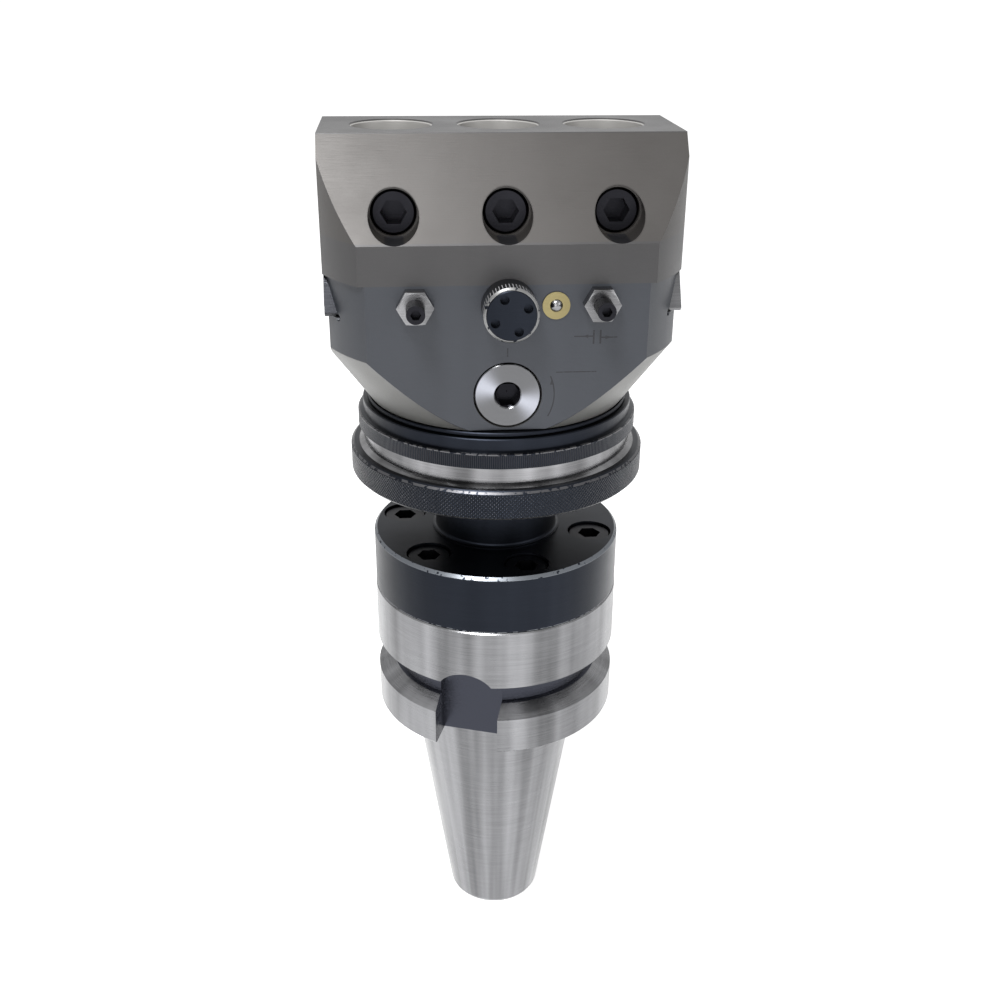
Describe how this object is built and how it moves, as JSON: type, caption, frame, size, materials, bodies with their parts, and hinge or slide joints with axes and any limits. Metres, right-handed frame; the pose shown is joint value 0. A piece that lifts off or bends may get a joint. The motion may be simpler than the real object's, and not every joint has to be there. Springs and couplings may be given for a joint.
{
  "type": "boring head",
  "caption": "Universal facing and boring head with a dovetail tool slide, dial, feed ring and selector on a steep-taper shank.",
  "frame": {"origin": "centre of the taper's gauge plane, on the spindle axis", "axes": "+Z along the spindle axis towards the tool slide, +X along the slide's travel, -Y the front with the dial"},
  "size_m": [0.08, 0.0742, 0.217],
  "materials": {
    "ground_steel": "ground",
    "slide_steel": "ground, dark",
    "dark_ground_steel": "blackened and ground",
    "black_steel": "black oxide",
    "black_screw": "black oxide",
    "polished_steel": "polished",
    "gear_steel": "machined",
    "bronze": "machined bronze",
    "brass": "turned brass"
  },
  "bodies": {
    "root": {"taper_shank": "ground_steel", "mounting_flange": "black_steel", "stem": "black_steel", "flange_screws": "black_screw", "draw_bolt": "black_screw", "head_body": "dark_ground_steel", "lower_cover": "black_steel", "cover_screws": "black_screw", "ring_bush": "bronze", "retaining_ring": "black_steel", "pinion_bush": "bronze", "feed_shaft_bush": "bronze", "screw_bracket_left": "gear_steel", "screw_bracket_right": "gear_steel", "bracket_screws": "black_screw", "gib": "ground_steel", "gib_screws": "black_screw", "gib_lock_nuts": "polished_steel", "oiler_body": "brass"},
    "slide": {"tool_slide": "slide_steel", "lead_nut": "bronze", "nut_pins": "gear_steel"},
    "clamp_left": {"clamp_screw_left": "black_screw"},
    "clamp_centre": {"clamp_screw_centre": "black_screw"},
    "clamp_right": {"clamp_screw_right": "black_screw"},
    "dial": {"dial_shaft": "gear_steel", "dial_knob": "black_steel", "dial_ring": "black_steel", "dial_gear": "gear_steel", "dial_bevel": "gear_steel"},
    "lead": {"lead_screw": "gear_steel", "lead_screw_bevel": "gear_steel"},
    "transfer": {"transfer_gear": "gear_steel"},
    "feed_ring_unit": {"feed_ring": "black_steel", "feed_ring_sleeve": "polished_steel"},
    "set_ring_unit": {"set_ring": "black_steel"},
    "pinion": {"feed_pinion": "gear_steel", "pinion_bevel": "gear_steel"},
    "feed_drive": {"feed_shaft": "gear_steel", "feed_shaft_bevel": "gear_steel"},
    "clutch": {"clutch_ring": "gear_steel"},
    "shift": {"shift_nut": "bronze"},
    "selector": {"selector_disc": "polished_steel"},
    "oiler": {"oiler_ball": "polished_steel", "oiler_spring": "gear_steel"}
  },
  "joints": [
    {"name": "dial_turn", "type": "hinge", "parent": "root", "child": "dial", "pos_m": [0, 0, 0.11775], "axis": [0, 1, 0], "range_deg": [-3600, 3600]},
    {"name": "slide_travel", "type": "slide", "parent": "root", "child": "slide", "axis": [1, 0, 0], "range_m": [-0.01, 0.01]},
    {"name": "lead_screw_turn", "type": "hinge", "parent": "root", "child": "lead", "pos_m": [0, 0, 0.11775], "axis": [1, 0, 0], "range_deg": [-3600, 3600]},
    {"name": "transfer_turn", "type": "hinge", "parent": "root", "child": "transfer", "pos_m": [0, -0.0115, 0.0975], "axis": [0, 1, 0], "range_deg": [-1260, 1260]},
    {"name": "feed_ring_turn", "type": "hinge", "parent": "root", "child": "feed_ring_unit", "pos_m": [0, 0, 0.0731], "axis": [0, 0, 1], "continuous": true},
    {"name": "pinion_turn", "type": "hinge", "parent": "root", "child": "pinion", "pos_m": [0, 0.021, 0.08], "axis": [0, 0, 1], "continuous": true},
    {"name": "feed_shaft_turn", "type": "hinge", "parent": "root", "child": "feed_drive", "pos_m": [0, 0, 0.0975], "axis": [0, 1, 0], "continuous": true},
    {"name": "set_ring_turn", "type": "hinge", "parent": "root", "child": "set_ring_unit", "pos_m": [0, 0, 0.0847], "axis": [0, 0, 1], "continuous": true},
    {"name": "selector_turn", "type": "hinge", "parent": "root", "child": "selector", "pos_m": [0, -0.03, 0.0975], "axis": [0, 1, 0], "range_deg": [0, 90]},
    {"name": "shift_nut_travel", "type": "slide", "parent": "root", "child": "shift", "axis": [0, 1, 0], "range_m": [0, 0.0007]},
    {"name": "clutch_travel", "type": "slide", "parent": "feed_drive", "child": "clutch", "axis": [0, 1, 0], "range_m": [0, 0.0007]},
    {"name": "clamp_left_travel", "type": "slide", "parent": "slide", "child": "clamp_left", "axis": [0, 1, 0], "range_m": [-0.003, 0.004]},
    {"name": "clamp_centre_travel", "type": "slide", "parent": "slide", "child": "clamp_centre", "axis": [0, 1, 0], "range_m": [-0.003, 0.004]},
    {"name": "clamp_right_travel", "type": "slide", "parent": "slide", "child": "clamp_right", "axis": [0, 1, 0], "range_m": [-0.003, 0.004]},
    {"name": "oiler_press", "type": "slide", "parent": "root", "child": "oiler", "axis": [0, 1, 0], "range_m": [0, 0.0008], "stiffness_N_per_m": 400}
  ],
  "couplings": [
    {"joint": "dial_turn", "follows": "slide_travel", "rad_per_m": 6283.2},
    {"joint": "lead_screw_turn", "follows": "slide_travel", "rad_per_m": -6283.2},
    {"joint": "transfer_turn", "follows": "slide_travel", "rad_per_m": -2199.1},
    {"joint": "pinion_turn", "follows": "feed_ring_turn", "ratio": 4.5},
    {"joint": "feed_shaft_turn", "follows": "feed_ring_turn", "ratio": -4.5},
    {"joint": "selector_turn", "follows": "shift_nut_travel", "rad_per_m": 2243.9},
    {"joint": "clutch_travel", "follows": "shift_nut_travel", "ratio": 1}
  ]
}
